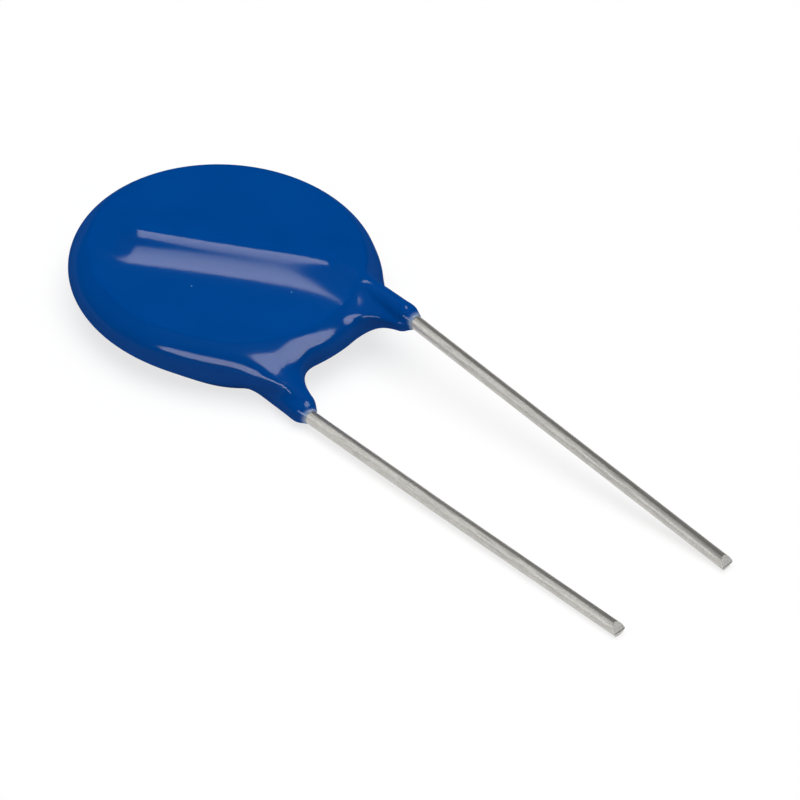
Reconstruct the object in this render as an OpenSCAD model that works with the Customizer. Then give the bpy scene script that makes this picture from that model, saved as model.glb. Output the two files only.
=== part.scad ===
// Metal oxide varistor: a dip coated disc with two bare wire leads, lying flat on a table.
// Millimetres. +Z is up and the disc faces are level. The leads point toward -Y.
// The front lead is on the +X side of the upper face, the rear lead on the -X side of the lower
// face. The origin is on the table under the middle of the outer box.
// The coated body is the same when turned half a turn about the Y axis. Only the free leads
// differ, as both come down to the table at their cut tips.

/* [View] */

/* [Ceramic disc] */
// Diameter of the sintered zinc oxide disc
disc_d = 20; // [19:0.1:20.4]
// Thickness of the sintered zinc oxide disc
disc_t = 2.1; // [1.6:0.05:2.4]
// Chamfer left by the press on both edges of the disc
disc_chamfer = 0.15; // [0.1:0.05:0.3]

/* [Electrodes] */
// Diameter of the silver layer on each face
electrode_d = 18.4; // [17:0.1:19]
// Thickness of the silver layer
electrode_t = 0.06; // [0.05:0.01:0.1]

/* [Wire leads] */
// Diameter of the tinned copper wire
wire_d = 1; // [0.8:0.05:1.05]
// Distance between the two leads where they leave the coating
pitch = 10; // [9:0.1:11]
// Sideways distance from the disc centre to the soldered end of a lead
inner_x = 4.35; // [3.8:0.05:5]
// Distance from the disc centre to the soldered end of a lead, away from its tip
inner_y = 5.5; // [4.8:0.1:5.8]
// Distance from the disc centre to the bend that turns a lead toward its tip
bend_y = 7.1; // [6.5:0.1:7.6]
// Centreline radius of that bend
bend_r = 2; // [1.5:0.1:2.5]
// Distance from the disc centre to the cut tips
reach = 44.15; // [34:0.05:50]
// Sideways place of the front tip
front_tip_x = 6.75; // [5.5:0.05:7.5]
// Sideways place of the rear tip
rear_tip_x = -3.8; // [-6:0.1:-3]
// Share of the fall to the table that the front lead has made before its middle bend
front_drop = 0.425; // [0.4:0.005:0.5]
// Share of the fall to the table that the rear lead has made before its middle bend
rear_drop = 0.48; // [0.2:0.02:0.6]
// Centreline radius of the slight bends in the free leads
slack_r = 12; // [8:1:20]
// Angle between the wire and the upper bevel of a cut tip
tip_upper = 40; // [30:1:60]
// Angle between the wire and the lower bevel of a cut tip
tip_lower = 78; // [60:1:85]
// Height of the blunt edge between the two bevels
tip_edge = 0.12; // [0.08:0.01:0.2]

/* [Solder] */
// Solder left between the wire and the electrode
solder_gap = 0.06; // [0.05:0.01:0.1]
// Length of the solder along the wire
solder_l = 13; // [9:0.5:14]
// Width of the solder across the wire
solder_w = 2.6; // [1.8:0.1:3]
// Height of the solder above the electrode
solder_h = 0.85; // [0.7:0.05:0.95]

/* [Epoxy coating] */
// Diameter over the coating
coat_d = 22.3; // [21.6:0.1:23]
// Thickness over the flat part of the coating
coat_t = 3.5; // [3.3:0.1:4]
// Width of the rounded rim, seen from above
rim_w = 1.4; // [1.15:0.05:1.9]
// Coating over the wire at the crest of the ridge, halfway along its slanting run
skin = 0.42; // [0.34:0.02:0.6]
// Extra height of that crest at both ends of the slanting run, where the dip gathered
swell = 0.1; // [0:0.01:0.15]
// Half width of the ridge over a wire, at half its height
ridge_w = 1.3; // [1.1:0.1:1.8]
// Distance from the disc centre to the ends of the coated legs
leg_end = 14.2; // [13.8:0.1:15]
// Diameter of a coated leg at its end
leg_d = 1.75; // [1.6:0.05:1.9]
// Extra diameter of a leg at its root
leg_taper = 0.3; // [0.1:0.05:0.4]
// How far the root of a leg leans toward the other leg
leg_lean = 0.2; // [0:0.05:0.3]
// Extra coating at the rim between the legs, where the dip ran down
sag = 0.5; // [0.2:0.1:0.8]
// Width of the blend between the body and a leg, on the side that faces the other leg
blend_w = 2.8; // [1.6:0.1:3]
// Width of the blend on the outer side of a leg
blend_out = 1.1; // [0.8:0.1:2]

/* [Hidden] */
$fn = 72;
wire_r = wire_d / 2;
leg_r = leg_d / 2;
leg_x = pitch / 2;
coat_r = coat_d / 2;
core_r = coat_r - rim_w;
// height of a wire's centreline over the middle plane of the disc
wire_z = disc_t / 2 + electrode_t + solder_gap + wire_r;
// height of the middle plane over the table, as the rear ridge rests on it
mid_z = wire_z + wire_r + skin + swell;
// distance from the origin to the disc centre
centre_y = (reach - coat_r) / 2;

function unit(v) = v / norm(v);
function dir(a) = [cos(a), sin(a)];
function smooth(t) = t <= 0 ? 0 : t >= 1 ? 1 : t * t * (3 - 2 * t);
// matrix of a frame with the given axes and origin
function frame(x, y, z, o) =
    [[x[0], y[0], z[0], o[0]], [x[1], y[1], z[1], o[1]], [x[2], y[2], z[2], o[2]], [0, 0, 0, 1]];

// Wire paths
// A path runs from the soldered end over the bend to the cut tip. The free lead is straight from
// its middle bend to the tip, and that stretch is a true cylinder. What comes before is swept.
middle_at = 0.45;   // place of the middle bend, as a share of the free lead
middle_x = 0.4;     // share of the sideways drift made before the middle bend
middle_y = -leg_end - (reach - leg_end) * middle_at;
function path(x, z, tip_x, drop, tip_z) =
    [[-x / leg_x * inner_x, inner_y, z], [x, -bend_y, z], [x, -leg_end, z],
     [x + (tip_x - x) * middle_x, middle_y, z + (tip_z - z) * drop], [tip_x, -reach, tip_z]];
// height of a tip's lowest point over that of a level wire, as it slants and its end is bevelled
function lift(p) = let (slant = -heading(p, 3)[2])
    slant * (wire_r - tip_edge / 2) / tan(tip_lower) + wire_r * (1 - sqrt(1 - slant * slant));
// the path whose cut tip touches the table
function seated(x, z, tip_x, drop) = let (tip_z = wire_r - mid_z)
    path(x, z, tip_x, drop, tip_z - lift(path(x, z, tip_x, drop, tip_z)));
front_path = seated(leg_x, wire_z, front_tip_x, front_drop);
rear_path = seated(-leg_x, -wire_z, rear_tip_x, rear_drop);
corner_r = [0, bend_r, slack_r, slack_r];
corner_steps = [0, 6, 3, 1];
wire_n = 32;        // sides of a swept wire
slim = 0.002;       // how much slimmer a swept wire is, so that it ends inside the true cylinder
lap = 0.3;          // how far it reaches into the cylinder

function heading(p, i) = unit(p[i + 1] - p[i]);
// places and directions along corner i, from the start of its arc to the end
function corner(p, i) = let (
    w = heading(p, i - 1),
    ahead = heading(p, i),
    a = acos(w * ahead),
    r = corner_r[i],
    inward = unit(ahead - w * (w * ahead)),
    c = p[i] - w * r * tan(a / 2) + inward * r)
    [for (s = [0 : corner_steps[i]]) let (t = a * s / corner_steps[i])
        [c + r * (w * sin(t) - inward * cos(t)), w * cos(t) + inward * sin(t)]];
function middle_end(p) = corner(p, 3)[corner_steps[3]][0];

// the swept stretch of a wire, from the soldered end past the middle bend
module swept_wire(p) {
    n = wire_n;
    w = heading(p, 3);
    stops = concat([[p[0], heading(p, 0)]], [for (i = [1 : 3]) each corner(p, i)],
                   [[middle_end(p) + w * lap, w]]);
    last = len(stops) - 1;
    rings = [for (s = stops) let (u = unit(cross([0, 0, 1], s[1])), v = cross(s[1], u))
        for (j = [0 : n - 1]) s[0] + (wire_r - slim) * (u * cos(360 * j / n) + v * sin(360 * j / n))];
    sides = [for (k = [0 : last - 1], j = [0 : n - 1]) let (a = k * n, b = a + n, i = (j + 1) % n)
        each [[a + j, b + j, b + i], [a + j, b + i, a + i]]];
    ends = [[for (j = [0 : n - 1]) j], [for (j = [n - 1 : -1 : 0]) last * n + j]];
    polyhedron(points = rings, faces = concat(sides, ends), convexity = 6);
}

// axes and origin at a place on the last stretch: across and level, up, and along the wire
function tail_frame(p, o) = let (w = heading(p, 3), s = unit(cross(w, [0, 0, 1])))
    frame(s, cross(s, w), -w, o);

// the straight stretch of a wire from its middle bend to the tip
module tail(p) {
    multmatrix(tail_frame(p, p[4])) cylinder(r = wire_r, h = norm(p[4] - middle_end(p)));
}

// what the cutter takes away round the wedge at the tip of a wire
module nip(p) {
    e = tip_edge / 2;
    h = wire_d;
    multmatrix(tail_frame(p, p[4])) rotate([0, -90, 0]) translate([0, 0, -h]) linear_extrude(2 * h)
        polygon([[(h - e) / tan(tip_upper), h], [0, e], [0, -e], [(h - e) / tan(tip_lower), -h],
                 [-h, -h], [-h, h]]);
}

module lead(p) {
    difference() {
        union() {
            swept_wire(p);
            tail(p);
        }
        nip(p);
    }
}

// Solder
// a long bead on the front electrode along the inner run of the front wire
module bead() {
    w = heading(front_path, 0);
    foot = disc_t / 2 + electrode_t;
    mid = (front_path[0] + front_path[1]) / 2;
    intersection() {
        multmatrix(frame(cross([0, 0, -1], w), w, [0, 0, 1], [mid[0], mid[1], foot]))
            scale([solder_w / 2, solder_l / 2, solder_h]) sphere(r = 1);
        translate([-disc_d / 2, -disc_d / 2, foot]) cube([disc_d, disc_d, solder_h + 1]);
    }
}

// Ceramic and electrodes
module ceramic() {
    r = disc_d / 2;
    h = disc_t / 2;
    c = disc_chamfer;
    rotate_extrude() polygon([[0, -h], [r - c, -h], [r, c - h], [r, h - c], [r - c, h], [0, h]]);
}

module electrode(z) {
    translate([0, 0, z]) cylinder(d = electrode_d, h = electrode_t);
}

// Shape of the coating
// How far a place is outside the body, the front leg, and the two blended, negative inside. The
// body is a disc with a round rim and a low ridge over each wire. A leg is a tapered round end.
sag_from = 0.3;     // the sag starts where the way to the rim leans this far toward the leads
sag_full = 0.9;     // and is full here
crest_z = wire_z - 0.3;
crest_w = 1;        // height over which the blend narrows toward the crest
crest_blend = 0.05; // share of the blend left at the crest
side_w = 1.2;       // width over which the blend changes from one side of a leg to the other
under_z = wire_z - 0.3;
under_w = 1.5;      // height over which the blend widens under a leg
cap_y = sqrt(leg_r * leg_r - wire_r * wire_r) - leg_end;

function share(p, a, b) = max(0, min(1, ((p - a) * (b - a)) / ((b - a) * (b - a))));
function gap(p, a, b) = norm(p - a - (b - a) * share(p, a, b));
function bell(d) = 1 / (1 + pow(d / ridge_w, 2));
function ridge(p) = let (
    a = [-inner_x, inner_y],
    b = [leg_x, -bend_y],
    c = [leg_x, -leg_end],
    crest = wire_z + wire_r + skin - coat_t / 2 + swell * pow(2 * share(p, a, b) - 1, 2))
    crest * (1 - (1 - bell(gap(p, a, b))) * (1 - bell(gap(p, b, c))));
function body_gap(p) = let (
    rho = norm([p[0], p[1]]),
    lean = -p[1] / max(rho, 1),
    edge = core_r + sag * smooth((lean - sag_from) / (sag_full - sag_from)),
    h = coat_t / 2 + ridge([p[2] > 0 ? p[0] : -p[0], p[1]]))
    rim_w * (norm([max(0, rho - edge) / rim_w, p[2] / h]) - 1);
function leg_gap(p) = let (
    y = max(cap_y, min(-bend_y, p[1])),
    t = (y - cap_y) / (-bend_y - cap_y),
    grow = leg_taper / 2 * t)
    norm(p - [leg_x - leg_lean * t, y, wire_z - grow]) - leg_r - grow;
function blend(a, b, k) = min(a, b) - pow(max(0, k - abs(a - b)), 2) / (4 * k);
function blend_at(p) = let (
    outside = 1 - smooth((leg_x - p[0]) / side_w + 0.5),
    over = 1 - smooth((under_z - p[2]) / under_w),
    crest = smooth((p[2] - crest_z) / crest_w))
    (blend_w + (blend_out - blend_w) * outside * over) * (1 + (crest_blend - 1) * crest);
function front_gap(p) = blend(body_gap(p), leg_gap(p), blend_at(p));
function skin_gap(p) = p[0] < 0 ? front_gap(turned(p)) : front_gap(p);
// the rear half is the front half turned about the Y axis
function turned(p) = [-p[0], p[1], -p[2]];

// Mesh of the coating
// Rays are cast from an inner line to the skin. The inner line is a circle with a slit down the
// middle of each leg. At each station of the line a fan of rays runs from straight down, over
// level, to straight up, and more rays run up and down from rings inside the circle.
body_n = 28;        // stations on the free arc of the body, one side
fillet_n = 4;       // stations where a fillet runs beside the circle
spine_n = 12;       // stations down one side of a leg
cap_n = 8;          // steps round the end of a leg
between_n = 3;      // stations from an inner fillet to the middle
ring_n = 9;         // rings across a face
fan_n = 6;          // steps of a fan from level to upright
ray_l = 4.5;        // length of a ray
ray_n = 12;         // times that it is halved to find the skin
outer_aim = 2.8;    // radius of the line that fans on the outer side of a leg point at
inner_aim = 1.4;    // the same on the side that faces the other leg
beside = 0.4;       // share of that line that runs beside the circle

// the point where a ray leaves the skin
function cast(o, d, lo = 0, hi = ray_l, n = ray_n) = let (m = (lo + hi) / 2)
    n == 0 ? o + d * m : skin_gap(o + d * m) < 0 ? cast(o, d, m, hi, n - 1) : cast(o, d, lo, m, n - 1);

// the fillets that the fans beside the front leg point at, seen from above
function aim_centre(x, r) = [x, -sqrt(pow(coat_r + r, 2) - x * x)];
outer_c = aim_centre(leg_x + leg_r + outer_aim, outer_aim);
inner_c = aim_centre(leg_x - leg_r - inner_aim, inner_aim);
outer_a = atan2(outer_c[1], outer_c[0]);
inner_a = atan2(inner_c[1], inner_c[0]);
function outer_at(u) = outer_c + outer_aim * dir(180 + outer_a * (1 - u));
function inner_at(u) = inner_c + inner_aim * dir((180 + inner_a) * (1 - u));

// the slit down the middle of the front leg
mouth_y = -sqrt(core_r * core_r - leg_x * leg_x);
mouth_a = atan2(mouth_y, leg_x);
function spine_y(j) = mouth_y + (cap_y - mouth_y) * j / spine_n;
function spine_at(j) = [leg_x, spine_y(j), wire_z * smooth((mouth_y - spine_y(j)) / rim_w)];
function along(j, y) = beside + (1 - beside) * (mouth_y - spine_y(j)) / (mouth_y - y);
function outer_side(j) = spine_y(j) > outer_c[1] ? outer_at(along(j, outer_c[1]))
    : [leg_x + leg_r, spine_y(j)];
function inner_side(j) = spine_y(j) > inner_c[1] ? inner_at(along(j, inner_c[1]))
    : [leg_x - leg_r, spine_y(j)];

// Stations of the front half, clockwise from the back of the disc. A station is an inner point,
// its number along the inner line, and the way its fan faces.
mouth_n = body_n + fillet_n;
half_n = mouth_n + fillet_n + between_n;
circle_n = 2 * half_n;
function on_circle(a) = [core_r * cos(a), core_r * sin(a), 0];
function from_circle(a, id, aim) = facing(on_circle(a), id, aim);
function facing(c, id, aim) = [c, id, unit(aim - [c[0], c[1]])];
half = concat(
    [for (i = [0 : body_n]) let (a = 90 + (outer_a - 90) * i / body_n) [on_circle(a), i, dir(a)]],
    [for (i = [1 : fillet_n]) let (t = i / fillet_n)
        from_circle(outer_a + (mouth_a - outer_a) * t, body_n + i, outer_at(beside * t))],
    [for (j = [1 : spine_n]) facing(spine_at(j), circle_n + j - 1, outer_side(j))],
    [for (i = [1 : cap_n - 1]) [spine_at(spine_n), circle_n + spine_n - 1, dir(-180 * i / cap_n)]],
    [for (j = [spine_n : -1 : 1]) facing(spine_at(j), circle_n + j - 1, inner_side(j))],
    [for (i = [fillet_n : -1 : 0]) let (t = i / fillet_n)
        from_circle(inner_a + (mouth_a - inner_a) * t, mouth_n + fillet_n - i, inner_at(beside * t))],
    [for (i = [1 : between_n]) let (a = inner_a + (-90 - inner_a) * i / between_n)
        [on_circle(a), mouth_n + fillet_n + i, dir(a)]]);

// points of a fan, from level to just under upright, first above and then below
function fan(s) = [for (side = [1, -1], i = [side > 0 ? 0 : 1 : fan_n - 1])
    let (t = 90 * i / fan_n) cast(s[0], [s[2][0] * cos(t), s[2][1] * cos(t), side * sin(t)])];
front_fans = [for (s = half) fan(s)];

// the rear half, from the middle back to the back of the disc
function turned_id(id) = id < circle_n ? (circle_n - id) % circle_n : id + spine_n;
function turned_place(i) = i == 0 ? 0 : i < fan_n ? i + fan_n - 1 : i - fan_n + 1;
function turned_fan(f) = [for (i = [0 : per_station - 1]) turned(f[turned_place(i)])];
per_station = 2 * fan_n - 1;
rear = [len(half) - 2 : -1 : 1];
fans = concat(front_fans, [for (i = rear) turned_fan(front_fans[i])]);
ids = concat([for (s = half) s[1]], [for (i = rear) turned_id(half[i][1])]);
feet = concat([for (s = half) s[0]], [for (i = rear) turned(half[i][0])]);
station_n = len(ids);

// points of the inner line by number, and those of the rings inside the circle
inner = [for (id = [0 : circle_n + 2 * spine_n - 1]) feet[search([id], ids)[0]]];
inside = concat([for (r = [1 : ring_n - 1], c = [0 : circle_n - 1]) inner[c] * r / ring_n],
                [[0, 0, 0]]);
skin_points = concat(
    [for (f = fans) each f],
    [for (side = [1, -1], c = inner) cast(c, [0, 0, side])],
    [for (side = [1, -1], c = inside) cast(c, [0, 0, side])]);

// Numbers of those points. Side 0 is the upper face and side 1 the lower one.
inner_0 = station_n * per_station;
inside_0 = inner_0 + 2 * len(inner);
function fan_at(k, i, side) = let (q = k % station_n)
    i == fan_n ? inner_0 + side * len(inner) + ids[q]
    : q * per_station + (i == 0 ? 0 : i + side * (fan_n - 1));
function ring_at(r, c, side) = r == ring_n ? inner_0 + side * len(inner) + c % circle_n
    : inside_0 + side * len(inside) + (r == 0 ? len(inside) - 1 : (r - 1) * circle_n + c % circle_n);
function wound(t, side) = side == 0 ? t : [t[0], t[2], t[1]];
function quad(a, b, c, d, side) = c == d ? [wound([a, b, c], side)]
    : [wound([a, b, c], side), wound([a, c, d], side)];
function fan_quad(k, i, side) = quad(fan_at(k, i, side), fan_at(k + 1, i, side),
                                     fan_at(k + 1, i + 1, side), fan_at(k, i + 1, side), side);
function ring_quad(r, c, side) = quad(ring_at(r + 1, c, side), ring_at(r + 1, c + 1, side),
                                      ring_at(r, c + 1, side), ring_at(r, c, side), side);
skin_faces = [for (side = [0, 1]) each concat(
    [for (k = [0 : station_n - 1], i = [0 : fan_n - 1]) each fan_quad(k, i, side)],
    [for (r = [0 : ring_n - 1], c = [0 : circle_n - 1]) each ring_quad(r, c, side)])];

// Parts
module placed() {
    translate([0, centre_y, mid_z]) children();
}

module half_turn() {
    rotate([0, 180, 0]) children();
}

module epoxy_coating() {
    color([0.0, 0.26, 0.56]) placed() difference() {
        polyhedron(points = skin_points, faces = skin_faces, convexity = 6);
        ceramic();
        electrode(disc_t / 2);
        electrode(-disc_t / 2 - electrode_t);
        bead();
        half_turn() bead();
        swept_wire(front_path);
        swept_wire(rear_path);
    }
}

module zinc_oxide_disc() {
    color([0.2, 0.2, 0.22]) placed() ceramic();
}

module front_electrode() {
    color([0.8, 0.8, 0.82]) placed() electrode(disc_t / 2);
}

module rear_electrode() {
    color([0.8, 0.8, 0.82]) placed() electrode(-disc_t / 2 - electrode_t);
}

module front_solder() {
    color([0.66, 0.67, 0.7]) placed() difference() {
        bead();
        swept_wire(front_path);
    }
}

module rear_solder() {
    color([0.66, 0.67, 0.7]) placed() difference() {
        half_turn() bead();
        swept_wire(rear_path);
    }
}

module front_lead() {
    color([0.72, 0.71, 0.69]) placed() lead(front_path);
}

module rear_lead() {
    color([0.72, 0.71, 0.69]) placed() lead(rear_path);
}

epoxy_coating();
zinc_oxide_disc();
front_electrode();
rear_electrode();
front_solder();
rear_solder();
front_lead();
rear_lead();
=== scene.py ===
"""Looks of a radial disc varistor that lies on a white table.

The dipped coating and the two leads are modelled here and stand for their solids. The ceramic disc, its
electrodes and the solder stay sealed in the coating and get their finishes. Sizes are in millimetres from
the disc centre and become metres where they meet the scene.
"""

import logging
import math
from dataclasses import dataclass, field
from enum import Enum

import bpy
import numpy as np
from bpy.types import Material, Node, NodeSocket, NodeTree, Object
from mathutils import Matrix, Vector

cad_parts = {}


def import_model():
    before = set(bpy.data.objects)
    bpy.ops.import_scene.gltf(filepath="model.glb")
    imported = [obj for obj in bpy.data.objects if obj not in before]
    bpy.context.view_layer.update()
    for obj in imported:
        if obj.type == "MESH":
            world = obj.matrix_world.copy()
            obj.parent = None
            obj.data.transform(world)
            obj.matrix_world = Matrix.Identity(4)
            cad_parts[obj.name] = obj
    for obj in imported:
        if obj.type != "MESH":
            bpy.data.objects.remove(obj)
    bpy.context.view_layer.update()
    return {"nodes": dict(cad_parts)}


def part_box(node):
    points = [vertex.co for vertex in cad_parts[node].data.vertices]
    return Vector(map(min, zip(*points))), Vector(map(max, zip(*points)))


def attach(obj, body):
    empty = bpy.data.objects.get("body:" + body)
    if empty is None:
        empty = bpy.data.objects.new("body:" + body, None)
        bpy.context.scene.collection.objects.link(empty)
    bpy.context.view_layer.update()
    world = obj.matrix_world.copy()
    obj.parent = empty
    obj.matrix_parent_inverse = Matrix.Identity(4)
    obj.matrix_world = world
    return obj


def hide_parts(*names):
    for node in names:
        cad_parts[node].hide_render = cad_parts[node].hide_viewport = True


MM = 0.001
# Points closer than this, in metres, are one point.
SAME_POINT = 1e-6
ROOT = "root"
UP = Vector((0.0, 0.0, 1.0))
Color = tuple[float, float, float]
Array = np.ndarray
log = logging.getLogger("varistor")


class Side(Enum):
    """The face of the disc that a lead is soldered to."""

    FRONT = 1
    REAR = -1


class TipFace(Enum):
    """The faces at a cut tip, as numbers of the wire's material slots."""

    ROUND = 0
    CUT = 1
    PINCHED = 2


def deselect() -> None:
    """Leaves object mode with nothing selected."""
    if bpy.context.object and bpy.context.object.mode != "OBJECT":
        bpy.ops.object.mode_set(mode="OBJECT")
    bpy.ops.object.select_all(action="DESELECT")


def activate(obj: Object) -> None:
    """Makes an object the only selected one and the active one."""
    deselect()
    obj.select_set(True)
    bpy.context.view_layer.objects.active = obj


def edit_all() -> None:
    """Enters edit mode on the active object, with all of its mesh selected."""
    bpy.ops.object.mode_set(mode="EDIT")
    bpy.ops.mesh.select_all(action="SELECT")


def apply_modifier(obj: Object, kind: str, **settings: object) -> None:
    """Adds a modifier to an object and applies it.

    Args:
        obj: The object to change.
        kind: The modifier's type, such as "REMESH".
        settings: The modifier's properties.
    """
    activate(obj)
    modifier = obj.modifiers.new(kind.title(), kind)
    for name, value in settings.items():
        setattr(modifier, name, value)
    bpy.ops.object.modifier_apply(modifier=modifier.name)


def points_of(obj: Object) -> Array:
    """Returns the places of an object's vertices, one row each, in metres."""
    places = np.zeros(len(obj.data.vertices) * 3)
    obj.data.vertices.foreach_get("co", places)
    return places.reshape(-1, 3)


def move_points(obj: Object, places: Array) -> None:
    """Puts an object's vertices at the given places, in metres."""
    obj.data.vertices.foreach_set("co", places.ravel())
    obj.data.update()


def write_values(obj: Object, name: str, values: Array) -> None:
    """Stores a number or a vector on each vertex of an object, for its material to read.

    Args:
        obj: The object.
        name: The attribute's name.
        values: One number or one row of three per vertex.
    """
    vector = values.ndim == 2
    layer = obj.data.attributes.new(name, "FLOAT_VECTOR" if vector else "FLOAT", "POINT")
    layer.data.foreach_set("vector" if vector else "value", values.astype(np.float32).ravel())


def smooth_step(t: Array) -> Array:
    """Returns 0 below 0, 1 above 1 and a smooth rise between."""
    t = np.clip(t, 0.0, 1.0)
    return t * t * (3.0 - 2.0 * t)


@dataclass(frozen=True)
class WirePath:
    """Centreline of a lead in millimetres from the disc centre, from soldered end to tip.

    Attributes:
        side: The face that the lead is soldered to.
        tip_x, drop: The tip's place sideways, and the share of its drop at the middle corner.
        mid_z, wire_r: The height of the disc's middle over the table, and the wire's radius.
        wire_z, leg_x: The sealed stretch's height over the disc's middle, and the leg's place.
        inner, bend_y, bend_r: The soldered end, the bend towards the leg, and its radius.
        leg_end, reach: The ends of the leg and the lead.
        middle_at, middle_x, slack_r: The middle corner's place, as shares, and the slack bends' radius.
        tip_upper, tip_lower, tip_edge: The tip's bevels in degrees, and the width of its edge.
    """

    side: Side
    tip_x: float
    drop: float
    mid_z: float
    wire_r: float = 0.5
    wire_z: float = 1.67
    leg_x: float = 5.0
    inner: tuple[float, float] = (-4.35, 5.5)
    bend_y: float = -7.1
    bend_r: float = 2.0
    leg_end: float = -14.2
    reach: float = -44.15
    middle_at: float = 0.45
    middle_x: float = 0.4
    slack_r: float = 12.0
    tip_upper: float = 40.0
    tip_lower: float = 78.0
    tip_edge: float = 0.12

    def corners_to(self, tip_z: float) -> list[Vector]:
        """Returns the five corners of the centreline of a lead whose tip lies at the given height."""
        s = self.side.value
        x, z = s * self.leg_x, s * self.wire_z
        middle_y = self.leg_end + (self.reach - self.leg_end) * self.middle_at
        middle = Vector((x + (self.tip_x - x) * self.middle_x, middle_y, z + (tip_z - z) * self.drop))
        return [Vector((s * self.inner[0], self.inner[1], z)), Vector((x, self.bend_y, z)),
                Vector((x, self.leg_end, z)), middle, Vector((self.tip_x, self.reach, tip_z))]

    def corners(self) -> list[Vector]:
        """Returns the five corners of the centreline, with the cut tip touching the table."""
        level = self.wire_r - self.mid_z
        rough = self.corners_to(level)
        slant = -(rough[4] - rough[3]).normalized().z
        set_back = (self.wire_r - self.tip_edge / 2) / math.tan(math.radians(self.tip_lower))
        return self.corners_to(level - slant * set_back - self.wire_r * (1 - math.sqrt(1 - slant ** 2)))

    def radii(self) -> list[float]:
        """Returns the bend radius at each corner."""
        return [0.0, self.bend_r, self.slack_r, self.slack_r, 0.0]


@dataclass
class DipCoat:
    """Epoxy coating: a round edged disc, a ridge over each wire and a leg round each lead.

    The skin is where `gap` is 0. Each leg ends in a thin cuff that the dip left on the wire.

    Attributes:
        coat_d, coat_t: The coated disc's diameter and thickness, without its ridges.
        rim_w, shoulder: The round rim's width, and how soon it falls away.
        skin, swell: The coating over the wire, and what it has more at the ridge's far end.
        near_flank, far_flank: The width and steepness of the ridge's flanks.
        crest_shift, ridge_start: The crest's place beside the wire, and where the ridge starts.
        leg_d, leg_taper, leg_lean: The leg's diameter, what it has more at the disc, and its lean.
        sag, sag_from, sag_full: How far the disc's edge sags at the legs, and over what stretch.
        blend_w, blend_out, crest_blend: The leg's fillet, the one outside and the one on top.
        side_w, under_w, crest_w, level_drop: Over what widths the fillet changes, and where.
        edge_w: The band along the flat face's edge that reflects little.
        cuff_l, cuff_film, cuff_blend: The cuff's length, thickness and fillet.
        thin_film, thin_from: The film that hides the wire, and how near the leg's end it counts, for the
            pale tone that also paints the glint there.
        voxel, smoothing, body_sides, leg_sides: How fine the mesh and its rough form are.
    """

    path: WirePath
    coat_d: float = 22.3
    coat_t: float = 3.5
    rim_w: float = 1.4
    skin: float = 0.42
    swell: float = 0.1
    near_flank: tuple[float, float] = (1.62, 2.6)
    far_flank: tuple[float, float] = (2.4, 2.0)
    crest_shift: tuple[float, float] = (0.2, 0.14)
    ridge_start: tuple[float, float] = (-3.9, 4.9)
    shoulder: float = 1.1
    leg_d: float = 1.75
    leg_taper: float = 0.3
    leg_lean: float = 0.2
    sag: float = 0.5
    sag_from: float = 0.45
    sag_full: float = 0.95
    blend_w: float = 2.8
    blend_out: float = 1.1
    side_w: float = 1.2
    under_w: float = 1.5
    crest_w: float = 1.0
    crest_blend: float = 0.4
    edge_w: float = 0.2
    level_drop: float = 0.3
    cuff_l: float = 0.28
    cuff_film: float = 0.05
    cuff_blend: float = 0.5
    thin_film: float = 0.2
    thin_from: float = 0.5
    voxel: float = 0.13
    smoothing: tuple[int, ...] = (4, 1)
    body_sides: int = 96
    leg_sides: int = 32

    def __post_init__(self) -> None:
        """Works out what follows from the sizes."""
        self.leg_r = self.leg_d / 2
        self.core_r = self.coat_d / 2 - self.rim_w
        self.cap_y = self.path.leg_end + math.sqrt(self.leg_r ** 2 - self.path.wire_r ** 2)
        self.crest_h = self.path.wire_z + self.path.wire_r + self.skin - self.coat_t / 2
        self.level_z = self.path.wire_z - self.level_drop

    @staticmethod
    def along(p: Array, a: Array, b: Array) -> tuple[Array, Array, Array]:
        """Measures places against a stretch, seen from above.

        Args:
            p: The places.
            a: The start of the stretch.
            b: Its end.

        Returns:
            How far along the stretch each place is, its distance from it, and how much it lies on its
            left. The first and last go from 0 to 1.
        """
        way = b - a
        t = np.clip(((p[:, :2] - a) @ way) / (way @ way), 0.0, 1.0)
        off = p[:, :2] - a - t[:, None] * way
        gap = np.linalg.norm(off, axis=1)
        leftward = (off[:, 1] * way[0] - off[:, 0] * way[1]) / np.maximum(gap * np.linalg.norm(way), 1e-9)
        return t, gap, 0.5 + 0.5 * leftward

    def ridge(self, p: Array) -> Array:
        """Returns the height of the ridge over the front wire."""
        shift = np.array(self.crest_shift)
        bend = np.array((self.path.leg_x, self.path.bend_y)) + shift
        low = 1.0
        for a, b in ((bend, np.array((self.path.leg_x, self.path.leg_end))),
                     (np.array(self.ridge_start) + shift, bend)):
            t, gap, far = self.along(p, a, b)
            fall = [1.0 - 1.0 / (1.0 + (gap / width) ** power)
                    for width, power in (self.near_flank, self.far_flank)]
            low = low * (fall[0] + (fall[1] - fall[0]) * far)
        return (self.crest_h + self.swell * np.maximum(0.0, 1.0 - 2.0 * t) ** 2) * (1.0 - low)

    def past_edge(self, p: Array) -> Array:
        """Returns how far places are outside the edge of the flat face, seen from above."""
        rho = np.hypot(p[:, 0], p[:, 1])
        lean = (-p[:, 1] / np.maximum(rho, 1.0) - self.sag_from) / (self.sag_full - self.sag_from)
        return rho - self.core_r - self.sag * smooth_step(lean)

    def body_gap(self, p: Array) -> Array:
        """Returns how far places are outside the disc and its ridges."""
        over = np.c_[np.where(p[:, 2] > 0, p[:, 0], -p[:, 0]), p[:, 1]]
        h = self.coat_t / 2 + self.ridge(over)
        out = np.maximum(0.0, self.past_edge(p)) / self.rim_w
        return self.rim_w * (np.sqrt(out ** self.shoulder + (p[:, 2] / h) ** 2) - 1.0)

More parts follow.
